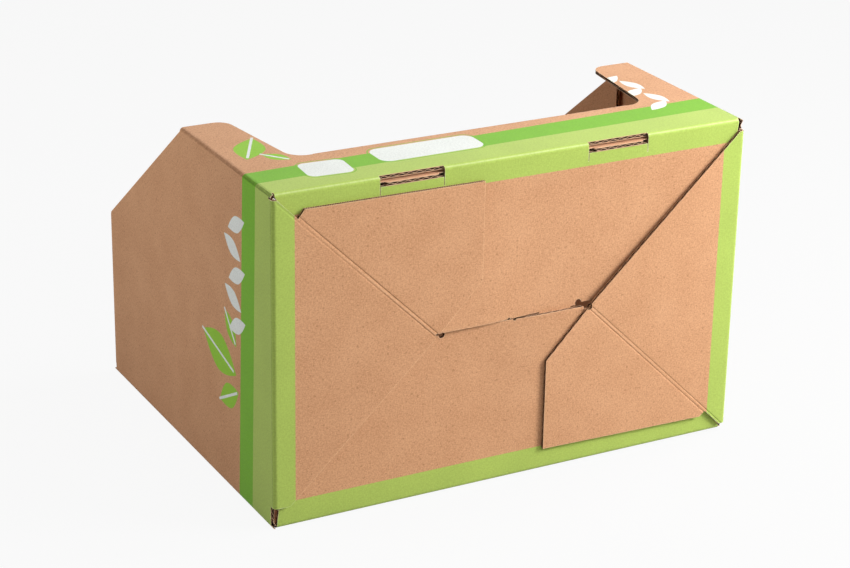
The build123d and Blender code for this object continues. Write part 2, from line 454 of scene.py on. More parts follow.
@dataclass(frozen=True)
class Fold:
    """A fold line of the blank, with the part of the sheet that it turns.

    Attributes:
        side: The way the turned part leads away from the line.
        line: Place of the line where the bend starts, along the strip or up it.
        radius: Radius of the board's middle round the bend.
        angle: Angle of the bend, in degrees.
        span: Range of the turned part across the fold's direction.
        worn: How far its outside is rubbed pale, up to 1, or cracked dark, down to -1.
        groove_shade: How dark the painted shade on the score line at its start is, from 0 to 1.
    """

    side: Side
    line: float
    radius: float
    angle: float
    span: tuple[float, float]
    worn: float = 0.0
    groove_shade: float = 0.0

    @property
    def length(self) -> float:
        """Length of the board's middle round the bend."""
        return self.radius * math.radians(self.angle)

    @property
    def upright(self) -> bool:
        """Whether the fold line runs up the strip."""
        return self.side in (Side.LEFT, Side.RIGHT)

    @property
    def sign(self) -> int:
        """Direction of the turned part."""
        return 1 if self.side in (Side.RIGHT, Side.UP) else -1

    def beyond(self, s: float, t: float) -> float:
        """How far a place lies past the line, or a negative number."""
        along, across = (s, t) if self.upright else (t, s)
        if not self.span[0] - WELD <= across <= self.span[1] + WELD:
            return -1.0
        return (along - self.line) * self.sign

    def region(self, s: float, t: float) -> bool:
        """Whether a panel with its middle at this place is near the bend."""
        across = t if self.upright else s
        return self.span[0] <= across <= self.span[1]

    def wear_and_painted_light(self, s: float, t: float) -> float:
        """Returns a place's mark: rubbed pale wear above zero; below zero, painted shade on the score line at
        the fold's start and cracked dark ink round a bend with negative wear.
        """
        past = self.beyond(s, t)
        if abs(past) < WELD:
            return -self.groove_shade
        return self.worn * math.sin(math.pi * past / self.length) if 0 < past < self.length else 0.0

    def score(self, blank: FlatBlank, steps: int, support: float) -> None:
        """Scores the sheet at every step of the bend and at its two supports.

        Args:
            blank: The flat blank.
            steps: Number of steps round the bend.
            support: Distance of the supports from the bend.
        """
        places = [-support, *(self.length * i / steps for i in range(steps + 1)), self.length + support]
        for past in places:
            place = self.line + self.sign * past
            point = (place, 0.0) if self.upright else (0.0, place)
            blank.cut(point, (1.0, 0.0) if self.upright else (0.0, 1.0), self.region)

    def bend(self, co: Vector) -> Vector:
        """Turns a point that lies past the line.

        Args:
            co: The point, as strip, height and outward distance.

        Returns:
            The point's place after the bend.
        """
        past = (co.x if self.upright else co.y) - self.line
        past *= self.sign
        angle = min(past / self.length, 1.0) * math.radians(self.angle)
        rest = max(past - self.length, 0.0)
        arm = self.radius + co.z
        along = self.line + self.sign * (arm * math.sin(angle) + rest * math.cos(angle))
        out = arm * math.cos(angle) - rest * math.sin(angle) - self.radius
        return Vector((along, co.y, out)) if self.upright else Vector((co.x, along, out))


@dataclass
class FoldedTray:
    """The tray: liners and fluting of the blank, bent along its folds and laid down."""

    board: Board = field(default_factory=Board)
    sizes: TraySizes = field(default_factory=TraySizes)
    support: float = 0.7
    crease_lines: tuple[float, ...] = (-2.7, -2.1, -1.35, -0.7, 0.0, 0.7, 1.35, 2.1, 2.7)
    crease_drops: tuple[float, ...] = (0.0, 0.0, 0.4, 0.05, 0.0, 0.05, 0.4, 0.0, 0.0)
    groove_drop: float = 0.3
    twist_columns: int = 3
    twist_rows: int = 5

    def __post_init__(self) -> None:
        """Draws the blank and scores its folds."""
        self.blank = FlatBlank(self.board, self.sizes)
        self.blank.draw()
        self.crease_rays = self.creases()
        self.flap_folds, self.wall_folds = self.plan_folds()
        for fold in (*self.flap_folds, *self.wall_folds):
            fold.score(self.blank, self.board.fold_steps, self.support)
        self.score_twists()
        self.score_creases()
        self.mark_wear_and_light()

    def mark_wear_and_light(self) -> None:
        """Adds a rim along the cut edges, and marks rims, creases and folds for the finish: its wear, painted
        highlight and painted shade.
        """
        sheet = self.blank.sheet
        bmesh.ops.inset_region(
            sheet, faces=sheet.faces[:], thickness=self.board.rim, use_boundary=True,
            use_even_offset=True, use_edge_rail=True,
        )
        rim, crease, fold = (sheet.verts.layers.float.new(name) for name in ("rim", "crease", "fold"))
        for vert in sheet.verts:
            s, t = vert.co.xy
            vert[rim] = float(vert.is_boundary)
            drop = self.crease_drop(s, t)
            vert[crease] = -1.0 if drop > self.groove_drop else float(self.on_ridge(s, t))
            marks = [item.wear_and_painted_light(s, t) for item in (*self.flap_folds, *self.wall_folds)]
            vert[fold] = max(marks, key=abs)

    def plan_folds(self) -> tuple[list[Fold], list[Fold]]:
        """Returns the folds of the flaps and linings, and those of the walls, in folding order."""
        z, blank, half = self.sizes, self.blank, self.board.half
        lip_radius = (self.board.thickness + z.lip_gap) / 2
        side_radius = (self.board.thickness + z.side_gap) / 2
        lip_span = blank.on_front(-z.lip_lining_half), blank.on_front(z.lip_lining_half)
        lean = 180 - z.side_lean
        # A fold's groove value paints shade on its score line; its worn value is rubbed wear, cracked ink
        # below zero.
        flaps = [
            Fold(Side.DOWN, z.wall_foot, half, 90, blank.front, worn=0.88),
            Fold(Side.DOWN, z.wall_foot, half, 90, blank.back, worn=0.7),
            Fold(Side.DOWN, z.narrow_level, half, 90, blank.left, worn=0.25, groove_shade=0.7),
            Fold(Side.DOWN, z.narrow_level, half, 90, blank.right, worn=0.4, groove_shade=0.6),
            Fold(Side.UP, z.lip, lip_radius, 180, lip_span),
            Fold(Side.UP, z.side_top, side_radius, lean, blank.left),
            Fold(Side.UP, z.side_top, side_radius, lean, blank.right),
        ]
        everything = (-1000.0, 1000.0)
        walls = [
            Fold(Side.RIGHT, blank.right[1], half, 90, everything, worn=0.2, groove_shade=0.5),
            Fold(Side.LEFT, blank.left[0], half, 90, everything, worn=0.2, groove_shade=0.5),
            Fold(Side.RIGHT, blank.front[1], half, 90, everything, worn=0.25, groove_shade=0.5),
            Fold(Side.LEFT, blank.front[0], half, 90, everything, worn=-0.5, groove_shade=0.5),
        ]
        return flaps, walls

    def wide_flap_place(self, s: float, t: float) -> Point | None:
        """Returns the place on a wide flap as x across and y in, or nothing off the wide flaps."""
        z, blank = self.sizes, self.blank
        y = self.board.thickness - (t - z.wall_foot + blank.turn)
        if y < self.board.thickness:
            return None
        for shift in (0.0, blank.half_turn_shift):
            x = s - shift - blank.mid_front
            if abs(x) <= z.hinge_half + WELD:
                return x, y
        return None

    def score_twists(self) -> None:
        """Scores the wide flaps where one half rises out of the plane."""
        z, blank = self.sizes, self.blank
        columns, count = self.twist_columns, self.twist_rows
        ends = [-z.twist_half + z.twist_half * i / columns for i in range(2 * columns + 1)]
        rows = [z.rise_start - self.support, z.rise_start, z.rise_start + self.support, z.seam]
        rows += [z.rise_start + (z.seam - z.rise_start) * i / count for i in range(1, count)]
        for shift in (0.0, blank.half_turn_shift):
            span = (blank.on_front(-z.hinge_half) + shift, blank.on_front(z.hinge_half) + shift)

            def region(s: float, t: float) -> bool:
                """Whether a panel belongs to this wide flap."""
                return span[0] <= s <= span[1] and t < z.wall_foot - blank.turn

            for y in rows:
                blank.cut((0.0, blank.flap_level(z.wall_foot, y)), (0.0, 1.0), region)
            for x in ends:
                blank.cut((blank.on_front(x) + shift, 0.0), (1.0, 0.0), region)

    def creases(self) -> list[tuple[Vector, Vector]]:
        """Returns the start and direction of the diagonal crease of each narrow flap."""
        z, blank = self.sizes, self.blank
        found = []
        for shift in (0.0, -blank.half_turn_shift):
            start = Vector(blank.narrow_place(shift, z.crease_start, z.crease_start))
            apex = Vector(blank.narrow_place(shift, z.apex_reach, z.apex_depth))
            found.append((start, (apex - start).normalized()))
        return found

    def score_creases(self) -> None:
        """Scores the diagonal creases of the narrow flaps."""
        z, blank = self.sizes, self.blank
        for (start, along), wall in zip(self.crease_rays, (blank.left, blank.right)):
            across = Vector((-along.y, along.x))

            def region(s: float, t: float) -> bool:
                """Whether a panel belongs to this narrow flap."""
                return wall[0] <= s <= wall[1] and t < z.narrow_level - blank.turn

            for offset in self.crease_lines:
                blank.cut(tuple(start + across * offset), tuple(across), region)

    def crease_offset(self, s: float, t: float) -> float:
        """Returns how far a place lies from the nearest crease, to its left or right."""
        offsets = [math.inf]
        for start, along in self.crease_rays if t < self.sizes.narrow_level - self.blank.turn else ():
            away = Vector((s, t)) - start
            if away.length < self.sizes.tab_reach:
                offsets.append(along.x * away.y - along.y * away.x)
        return min(offsets, key=abs)

    def crease_drop(self, s: float, t: float) -> float:
        """Returns how far a crease presses the outer liner in at a place."""
        offset = self.crease_offset(s, t)
        lines = zip(self.crease_lines, self.crease_drops)
        return next((drop for line, drop in lines if abs(offset - line) < NEAR), 0.0)

    def on_ridge(self, s: float, t: float) -> bool:
        """Whether a place lies on the ridge between a crease's two grooves."""
        return abs(self.crease_offset(s, t)) < NEAR

    def rise(self, s: float, t: float) -> float:
        """Returns how far a wide flap rises into the tray at a place."""
        place = self.wide_flap_place(s, t)
        if place is None:
            return 0.0
        z = self.sizes
        across = min(max((place[0] + z.twist_half) / (2 * z.twist_half), 0.0), 1.0)
        along = min(max((place[1] - z.rise_start) / (z.seam - z.rise_start), 0.0), 1.0)
        return z.rise * across * along

    def liner(self, outer: bool) -> BMesh:
        """Makes one liner of the board, still flat.

        Args:
            outer: Whether it is the printed liner.

        Returns:
            The liner as a closed mesh.
        """
        mesh = self.blank.sheet.copy()
        face_level = self.board.half if outer else -self.board.half + WELD
        back_level = face_level - self.board.liner if outer else face_level + self.board.liner
        bmesh.ops.translate(mesh, verts=mesh.verts, vec=(0, 0, face_level))
        made = bmesh.ops.extrude_face_region(mesh, geom=mesh.faces[:])
        verts = [item for item in made["geom"] if isinstance(item, BMVert)]
        bmesh.ops.translate(mesh, verts=verts, vec=(0, 0, back_level - face_level))
        bmesh.ops.recalc_face_normals(mesh, faces=mesh.faces)
        if outer:
            for vert in mesh.verts:
                vert.co.z -= self.crease_drop(vert.co.x, vert.co.y)
        # Faces: 0 the outer face, 1 the cut sides, 2 the hidden back towards the flutes, which gets a painted
        # shade material.
        for face in mesh.faces:
            facing = face.normal.z if outer else -face.normal.z
            face.material_index = 0 if facing > 0.5 else 2 if facing < -0.5 else 1
        return mesh

    def fluting(self) -> BMesh:
        """Makes the fluted medium along every cut edge of the blank, still flat."""
        mesh = bmesh.new()
        edges = [edge for edge in self.blank.sheet.edges if edge.is_boundary]
        bins = self.edge_bins(edges)
        for edge in edges:
            self.flute_edge(mesh, edge, bins)
        bmesh.ops.remove_doubles(mesh, verts=mesh.verts, dist=WELD)
        wave = 2 * math.pi / self.board.flute_pitch
        for vert in mesh.verts:
            vert.co.z = self.board.flute_height * math.sin(wave * vert.co.x) - self.board.medium / 2
        bmesh.ops.recalc_face_normals(mesh, faces=mesh.faces)
        made = bmesh.ops.extrude_face_region(mesh, geom=mesh.faces[:])
        verts = [item for item in made["geom"] if isinstance(item, BMVert)]
        bmesh.ops.translate(mesh, verts=verts, vec=(0, 0, self.board.medium))
        bmesh.ops.recalc_face_normals(mesh, faces=mesh.faces)
        # Broad faces of the medium get a painted shade material, the cut faces the cut finish.
        for face in mesh.faces:
            face.material_index = int(abs(face.normal.z) < 0.5)
        return mesh

    def edge_bins(self, edges: list[BMEdge]) -> EdgeBins:
        """Sorts cut edges by their place along the strip, to find the board's room quickly."""
        bins: EdgeBins = {}
        for edge in edges:
            a, b = sorted((vert.co.copy() for vert in edge.verts), key=lambda co: co.x)
            for key in range(self.bin_of(a), self.bin_of(b) + 1):
                bins.setdefault(key, []).append((a, b))
        return bins

    def bin_of(self, co: Vector) -> int:
        """Number of the bin that a place lies in."""
        return int(co.x // self.board.bin_width)

    def room(self, co: Vector, way: int, bins: EdgeBins) -> float:
        """Returns how far a flute can run from a cut edge before it meets another.

        Args:
            co: The flute's place on the edge.
            way: Direction of the flute, up or down the strip.
            bins: The cut edges by place.

        Returns:
            The flute's length, at most the board's flute reach.
        """
        reach, clearance = self.board.flute_reach, self.board.flute_clearance
        for a, b in bins.get(self.bin_of(co), ()):
            if a.x < co.x < b.x:
                away = (a.y + (b.y - a.y) * (co.x - a.x) / (b.x - a.x) - co.y) * way
                if 2 * NEAR < away < reach + clearance:
                    reach = max(away - clearance, WELD)
        return reach

    def flute_edge(self, mesh: BMesh, edge: BMEdge, bins: EdgeBins) -> None:
        """Adds the fluted medium along one cut edge.

        Args:
            mesh: The fluting's mesh.
            edge: The cut edge of the sheet.
            bins: All cut edges by place.
        """
        loop = edge.link_loops[0]
        start, end = loop.vert.co, loop.link_loop_next.vert.co
        along = end - start
        count = max(1, math.ceil(abs(along.x) / self.board.flute_step))
        row = [mesh.verts.new(start + along * i / count) for i in range(count + 1)]
        edges = [mesh.edges.new(pair) for pair in zip(row, row[1:])]
        crossing = abs(along.x) > 0.5 * along.length
        way = int(math.copysign(1, along.x if crossing else -along.y))
        reaches = [self.room(vert.co, way, bins) for vert in row] if crossing else []
        for _ in range(1 if crossing else self.board.flute_steps):
            made = bmesh.ops.extrude_edge_only(mesh, edges=edges)["geom"]
            edges = [item for item in made if isinstance(item, BMEdge)]
            verts = [item for item in made if isinstance(item, BMVert)]
            if crossing:
                for vert in verts:
                    nearest = min(range(count + 1), key=lambda i: abs(row[i].co.x - vert.co.x))
                    vert.co.y += way * reaches[nearest]
            else:
                bmesh.ops.translate(mesh, verts=verts, vec=(way * self.board.flute_step, 0, 0))

    def fold_up(self, mesh: BMesh) -> None:
        """Folds a flat mesh of the blank and lays the tray on its back wall.

        Args:
            mesh: The flat mesh, which gets its blank's places as a UV map first.
        """
        layer = mesh.loops.layers.uv.new("blank")
        for face in mesh.faces:
            for loop in face.loops:
                loop[layer].uv = loop.vert.co.xy * MILLIMETRE
        for vert in mesh.verts:
            vert.co.z -= self.rise(vert.co.x, vert.co.y)
        for fold in (*self.flap_folds, *self.wall_folds):
            for vert in mesh.verts:
                if fold.beyond(vert.co.x, vert.co.y) > 0:
                    vert.co = fold.bend(vert.co)
        z = self.sizes
        lay = Vector((-self.blank.mid_front, -z.height / 2, z.depth - self.board.half))
        bmesh.ops.translate(mesh, verts=mesh.verts, vec=lay)
        bmesh.ops.scale(mesh, verts=mesh.verts, vec=(MILLIMETRE,) * 3)

    def build(self) -> list[Object]:
        """Builds the three pieces of the board.

        Returns:
            The printed liner, the inner liner and the fluting.
        """
        pieces = []
        for name, mesh in (
            ("printed_liner", self.liner(outer=True)),
            ("inner_liner", self.liner(outer=False)),
            ("fluting", self.fluting()),
        ):
            self.fold_up(mesh)
            pieces.append(finished_piece(name, mesh))
        self.blank.sheet.free()
        return pieces

    def dress(self, pieces: list[Object]) -> None:
        """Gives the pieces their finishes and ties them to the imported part.

        Args:
            pieces: The pieces that build returned.
        """
        printed, inner, fluting = pieces
        kraft = KraftFinish()
        print_material = PrintFinish(kraft=kraft).material("printed_kraft")
        raw_material = RawFinish(kraft=kraft).material("raw_kraft")
        cut_kraft = KraftFinish(colour=srgb(222, 184, 150), shadow=srgb(188, 148, 114))
        cut_material = RawFinish(kraft=cut_kraft).material("cut_kraft")
        # Painted shade: the hidden backs of the liners and the broad faces of the fluting are coloured dark
        # brown, so that the gaps between the flutes look shaded.
        shade_painted_kraft = KraftFinish(colour=srgb(104, 70, 45), shadow=srgb(78, 50, 31), worn=srgb(104, 70, 45))
        shade_painted_material = RawFinish(kraft=shade_painted_kraft).material("flute_inside_painted_shade")
        for piece, materials in (
            (printed, (print_material, cut_material, shade_painted_material)),
            (inner, (raw_material, cut_material, shade_painted_material)),
            (fluting, (shade_painted_material, cut_material)),
        ):
            for material in materials:
                piece.data.materials.append(material)
            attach(piece, BODY)
            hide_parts(NODE)


def finished_piece(name: str, mesh: BMesh) -> Object:
    """Makes an object of a mesh, smooth round its bends and sharp at its cuts.

    Args:
        name: Name of the piece.
        mesh: Its mesh, which is freed.

    Returns:
        The object, linked into the scene at the origin.
    """
    data = bpy.data.meshes.new(name)
    mesh.to_mesh(data)
    mesh.free()
    data.polygons.foreach_set("use_smooth", [True] * len(data.polygons))
    data.set_sharp_from_angle(angle=SMOOTH_ANGLE)
    piece = bpy.data.objects.new(name, data)
    bpy.context.scene.collection.objects.link(piece)
    return piece


def srgb(red: int, green: int, blue: int) -> Colour:
    """Returns a colour that is written in screen values as linear values."""
    channels = [value / 255 for value in (red, green, blue)]
    linear = [v / 12.92 if v <= 0.04045 else ((v + 0.055) / 1.055) ** 2.4 for v in channels]
    return (linear[0], linear[1], linear[2], 1.0)


def flat_place(point: Point) -> Triple:
    """Returns a place on the blank, given in millimetres, as the finishes read it."""
    return point[0] * MILLIMETRE, point[1] * MILLIMETRE, 0.0


Feed = NodeSocket | float | tuple[float, ...]


class Graph:
    """A node tree that is written as sums of its sockets."""

    def __init__(self, tree: NodeTree) -> None:
        """Starts on a node tree.

        Args:
            tree: The tree of a material or a node group.
        """
        self.tree = tree

    def node(
        self, kind: str, feeds: dict[str | int, Feed] | None = None, **settings: object,
    ) -> bpy.types.Node:
        """Adds a node.

        Args:
            kind: The node's type.
            feeds: What goes into its inputs, by name or number.
            settings: Its properties.

        Returns:
            The node.
        """
        node = self.tree.nodes.new(kind)
        for name, value in settings.items():
            setattr(node, name, value)
        for key, value in (feeds or {}).items():
            self.feed(node.inputs[key], value)
        return node

    def feed(self, socket: NodeSocket, value: Feed) -> None:
        """Links a socket, or sets its value."""
        if isinstance(value, NodeSocket):
            self.tree.links.new(value, socket)
        else:
            socket.default_value = value

    def math(self, operation: str, *values: Feed, clamp: bool = False) -> NodeSocket:
        """Adds a sum of numbers and returns its result."""
        node = self.node("ShaderNodeMath", dict(enumerate(values)), operation=operation, use_clamp=clamp)
        return node.outputs[0]

    def vector(self, operation: str, *values: Feed) -> NodeSocket:
        """Adds a sum of vectors and returns its first result that is in use."""
        node = self.node("ShaderNodeVectorMath", dict(enumerate(values)), operation=operation)
        return node.outputs["Value" if operation in ("LENGTH", "DOT_PRODUCT", "DISTANCE") else "Vector"]

    def step(self, value: Feed, low: Feed, high: Feed, start: float = 0.0, end: float = 1.0) -> NodeSocket:
        """Adds a smooth step from start to end as a value goes from low to high."""
        feeds = {"Value": value, "From Min": low, "From Max": high, "To Min": start, "To Max": end}
        return self.node("ShaderNodeMapRange", feeds, interpolation_type="SMOOTHSTEP").outputs["Result"]

    def mix(self, share: Feed, first: Feed, second: Feed, blend: str = "MIX") -> NodeSocket:
        """Adds a mix of two colours."""
        node = self.node("ShaderNodeMix", {}, data_type="RGBA", blend_type=blend)
        self.feed(node.inputs["Factor"], share)
        self.feed(node.inputs[6], first)
        self.feed(node.inputs[7], second)
        return node.outputs[2]

    def noise(self, place: Feed, scale: float, detail: float = 2.0, rough: float = 0.5) -> NodeSocket:
        """Adds a cloud of noise on flat places, from 0 to 1."""
        feeds = {"Vector": place, "Scale": scale, "Detail": detail, "Roughness": rough}
        return self.node("ShaderNodeTexNoise", feeds, noise_dimensions="2D").outputs[0]

    def group(self, tree: NodeTree, **feeds: Feed) -> bpy.types.Node:
        """Places a node group."""
        node = self.node("ShaderNodeGroup", node_tree=tree)
        for name, value in feeds.items():
            self.feed(node.inputs[name], value)
        return node

    def seen(self) -> NodeSocket:
        """Adds a mask of the rays that show a backdrop as it is: camera, glossy and transmission rays."""
        path = self.node("ShaderNodeLightPath").outputs
        seen = self.math("MAXIMUM", path["Is Camera Ray"], path["Is Glossy Ray"])
        return self.math("MAXIMUM", seen, path["Is Transmission Ray"])


class EffectGroup:
    """A shader node group that is built once and placed in several materials."""

    def __init__(self, name: str, inputs: dict[str, str], outputs: dict[str, str]) -> None:
        """Starts a group with named sockets.

        Args:
            name: The group's name.
            inputs: Socket types of its inputs by name.
            outputs: Socket types of its outputs by name.
        """
        self.tree = bpy.data.node_groups.new(name, "ShaderNodeTree")
        for socket, kind in inputs.items():
            self.tree.interface.new_socket(socket, in_out="INPUT", socket_type=kind)
        for socket, kind in outputs.items():
            self.tree.interface.new_socket(socket, in_out="OUTPUT", socket_type=kind)
        self.graph = Graph(self.tree)
        self.source = self.graph.node("NodeGroupInput").outputs
        self.sink = self.graph.node("NodeGroupOutput").inputs

    def turned_place(self) -> NodeSocket:
        """Adds the place from a printed mark's middle, turned as the mark is."""
        away = self.graph.vector("SUBTRACT", self.source["Place"], self.source["Middle"])
        feeds = {"Vector": away, "Angle": self.source["Turn"]}
        return self.graph.node("ShaderNodeVectorRotate", feeds, rotation_type="Z_AXIS").outputs[0]

    def put(self, **results: Feed) -> NodeTree:
        """Links the group's results and returns its tree."""
        for name, value in results.items():
            self.graph.feed(self.sink[name], value)
        return self.tree


NUMBER = "NodeSocketFloat"
VECTOR = "NodeSocketVector"


@cache
def fibre_group() -> NodeTree:
    """Returns the group of paper fibres: mottled shade, dark specks and relief."""
    group = EffectGroup(
        "paper_fibres", {"Place": VECTOR},
        {"Shade": NUMBER, "Specks": NUMBER, "Relief": NUMBER},
    )
    graph, place = group.graph, group.source["Place"]
    fine = graph.noise(place, 900.0, 2.0, 0.7)
    stretched = graph.vector("MULTIPLY", place, (380.0, 1300.0, 1.0))
    fibres = graph.noise(stretched, 1.0, 2.0, 0.6)
    crossed = graph.vector("MULTIPLY", place, (1200.0, 420.0, 1.0))
    crossing = graph.noise(crossed, 1.0, 2.0, 0.6)
    clouds = graph.noise(place, 30.0, 3.0, 0.55)
    shade = graph.math("MULTIPLY_ADD", fine, 0.38, graph.math("MULTIPLY", fibres, 0.24))
    shade = graph.math("ADD", shade, graph.math("MULTIPLY", crossing, 0.24))
    shade = graph.math("ADD", shade, graph.math("MULTIPLY", clouds, 0.14))
    specks = graph.step(graph.noise(place, 420.0, 1.0, 0.4), 0.70, 0.78)
    strip = graph.node("ShaderNodeSeparateXYZ", {0: place}).outputs["X"]
    wave = graph.math("SINE", graph.math("MULTIPLY", strip, 2 * math.pi / (Board().flute_pitch * MILLIMETRE)))
    relief = graph.math("MULTIPLY_ADD", fine, 0.45, graph.math("MULTIPLY", fibres, 0.3))
    relief = graph.math("MULTIPLY_ADD", wave, 0.14, relief)
    return group.put(Shade=shade, Specks=specks, Relief=relief)


@cache
def wear_and_light_group() -> NodeTree:
    """Returns the group of board wear and painted light: pale rubbed folds, cracked ink, a painted highlight
    on crease ridges and cut rims, and painted shade in score lines and crease grooves.

    Its marks are the board's own: the rim of its cuts, its creases and its folds.
    """
    group = EffectGroup("board_wear_and_painted_light", {"Place": VECTOR}, {"Pale": NUMBER, "Dark": NUMBER})
    graph, place = group.graph, group.source["Place"]
    rim, crease, fold = (
        graph.node("ShaderNodeAttribute", attribute_name=name).outputs["Fac"]
        for name in ("rim", "crease", "fold")
    )
    patches = graph.step(graph.noise(place, 260.0, 3.0, 0.65), 0.36, 0.62)
    rubbed = graph.math("MULTIPLY", graph.step(fold, 0.7, 0.98), graph.step(patches, 0.0, 1.0, 0.5, 0.75))
    # Painted highlight on the ridge between a crease's grooves.
    ridge = graph.math("MULTIPLY", graph.step(crease, 0.0, 0.9), graph.step(patches, 0.0, 1.0, 0.3, 0.6))
    # Pale rim along every cut edge: partly frayed liner, partly a painted highlight of the lit cut edges.
    edge = graph.math("MULTIPLY", graph.step(rim, 0.1, 0.7), graph.step(patches, 0.0, 1.0, 0.4, 0.95))
    pale = graph.math("MAXIMUM", graph.math("MAXIMUM", rubbed, ridge), edge)
    # Painted shade on the score line at a fold's start, with cracked ink round a bend with negative wear.
    groove_shade_and_cracks = graph.math("MULTIPLY", graph.step(fold, -0.1, -0.9), graph.step(patches, 0.0, 1.0, 0.45, 1.0))
    # Painted shade in a crease's pressed grooves.
    crease_painted_shade = graph.math("MULTIPLY", graph.step(crease, -0.3, -1.0), 0.12)
    return group.put(Pale=pale, Dark=graph.math("MAXIMUM", groove_shade_and_cracks, crease_painted_shade))


@cache
def leaf_group() -> NodeTree:
    """Returns the group of a printed leaf: a pointed oval with a bare midrib."""
    group = EffectGroup(
        "printed_leaf",
        {"Place": VECTOR, "Middle": VECTOR, "Turn": NUMBER, "Length": NUMBER, "Plump": NUMBER, "Rib": NUMBER},
        {"Leaf": NUMBER, "Midrib": NUMBER},
    )
    graph, source = group.graph, group.source
    parts = graph.node("ShaderNodeSeparateXYZ", {0: group.turned_place()}).outputs
    half = graph.math("MULTIPLY", source["Length"], 0.5)
    wide = graph.math("MULTIPLY", half, source["Plump"])
    share = graph.math("DIVIDE", parts["X"], half)
    bow = graph.math("SUBTRACT", 1.0, graph.math("POWER", graph.math("ABSOLUTE", share), 1.7), clamp=True)
    edge = graph.math("MULTIPLY", wide, bow)
    side = graph.math("ABSOLUTE", parts["Y"])
    leaf = graph.step(graph.math("SUBTRACT", edge, side), 0.0, 0.0003)
    rib = graph.step(side, graph.math("MULTIPLY", source["Rib"], 1.25), source["Rib"])
    stalk = graph.step(graph.math("ABSOLUTE", graph.math("SUBTRACT", share, 0.12)), 0.98, 0.94)
    return group.put(Leaf=leaf, Midrib=graph.math("MULTIPLY", rib, stalk))


@cache
def label_group() -> NodeTree:
    """Returns the group of a printed label: a rounded bar."""
    group = EffectGroup(
        "printed_label",
        {"Place": VECTOR, "Middle": VECTOR, "Half": VECTOR, "Round": NUMBER, "Turn": NUMBER},
        {"Label": NUMBER, "Rim": NUMBER},
    )
    graph, source = group.graph, group.source
    flat = graph.vector("MULTIPLY", group.turned_place(), (1.0, 1.0, 0.0))
    corner = graph.vector("SUBTRACT", graph.vector("ABSOLUTE", flat), source["Half"])
    outside = graph.vector("LENGTH", graph.vector("MAXIMUM", corner, (0.0, 0.0, 0.0)))
    gap = graph.math("SUBTRACT", outside, source["Round"])
    label = graph.step(gap, 0.00015, -0.00015)
    rim = graph.step(graph.math("ABSOLUTE", graph.math("SUBTRACT", gap, 0.0017)), 0.00055, 0.0003)
    return group.put(Label=label, Rim=rim)


@dataclass(frozen=True)
class KraftFinish:
    """Brown kraft paper: a cloudy, fibrous surface with darker specks."""

    colour: Colour = srgb(217, 166, 126)
    shadow: Colour = srgb(192, 140, 101)
    speck: Colour = srgb(150, 100, 66)
    # Pale colour of rubbed folds, also the painted highlight on cut rims and crease ridges; next, the colour
    # of painted shade in score lines and crease grooves and of cracked ink.
    worn: Colour = srgb(232, 192, 154)
    groove_shade_and_cracks: Colour = srgb(150, 102, 68)
    speck_share: float = 0.4

    def paint(self, graph: Graph, place: NodeSocket) -> tuple[NodeSocket, bpy.types.Node]:
        """Adds the paper's colour to a material.

        Args:
            graph: The material's graph.
            place: Places on the blank.

        Returns:
            The colour and the fibre group's node.
        """
        fibres = graph.group(fibre_group(), Place=place)
        tone = graph.step(fibres.outputs["Shade"], 0.36, 0.64)
        paper = graph.mix(tone, self.shadow, self.colour)
        specks = graph.math("MULTIPLY", fibres.outputs["Specks"], self.speck_share)
        return graph.mix(specks, paper, self.speck), fibres


def paper_material(name: str) -> tuple[Material, Graph, NodeSocket, bpy.types.Node]:
    """Starts a paper material.

    Args:
        name: The material's name.

    Returns:
        The material, its graph, places on the blank and the shader.
    """
    material = bpy.data.materials.new(name)
    material.use_nodes = True
    graph = Graph(material.node_tree)
    shader = next(node for node in material.node_tree.nodes if node.type == "BSDF_PRINCIPLED")
    shader.inputs["Specular IOR Level"].default_value = 0.05
    shader.inputs["Sheen Weight"].default_value = 0.13
    place = graph.node("ShaderNodeUVMap", uv_map="blank").outputs[0]
    return material, graph, place, shader


def lay_paper(graph: Graph, shader: bpy.types.Node, colour: NodeSocket, fibres: bpy.types.Node) -> None:
    """Feeds a paper's colour and the relief of its fibres to its shader.

    Args:
        graph: The material's graph.
        shader: Its shader.
        colour: The paper's colour.
        fibres: The fibre group's node.
    """
    relief = {"Strength": 0.3, "Distance": 0.0002, "Height": fibres.outputs["Relief"]}
    graph.feed(shader.inputs["Base Color"], colour)
    graph.feed(shader.inputs["Normal"], graph.node("ShaderNodeBump", relief).outputs[0])


@dataclass(frozen=True)
class RawFinish:
    """Unprinted kraft paper, as on the inside and at the cut edges."""

    kraft: KraftFinish
    roughness: float = 0.86

    def material(self, name: str) -> Material:
        """Returns the finish as a material."""
        material, graph, place, shader = paper_material(name)
        colour, fibres = self.kraft.paint(graph, place)
        # Pale rubbed folds, with a painted highlight on cut rims and crease ridges.
        wear_and_painted_light = graph.group(wear_and_light_group(), Place=place).outputs
        lay_paper(graph, shader, graph.mix(wear_and_painted_light["Pale"], colour, self.kraft.worn), fibres)
        shader.inputs["Roughness"].default_value = self.roughness
        return material


class Ink(Enum):
    """The inks of the printed leaves."""

    GREEN = "green"
    WHITE = "white"


@dataclass(frozen=True)
class Leaf:
    """A printed leaf, by its middle on the blank in millimetres, turn and length."""

    middle: Point
    turn: float
    length: float
    ink: Ink = Ink.GREEN
    plump: float = 0.5


@dataclass(frozen=True)
class Label:
    """A blank printed label, by its middle on the blank, half sizes, rounding and turn."""

    middle: Point
    half: Point
    rounding: float
    turn: float = 0.0


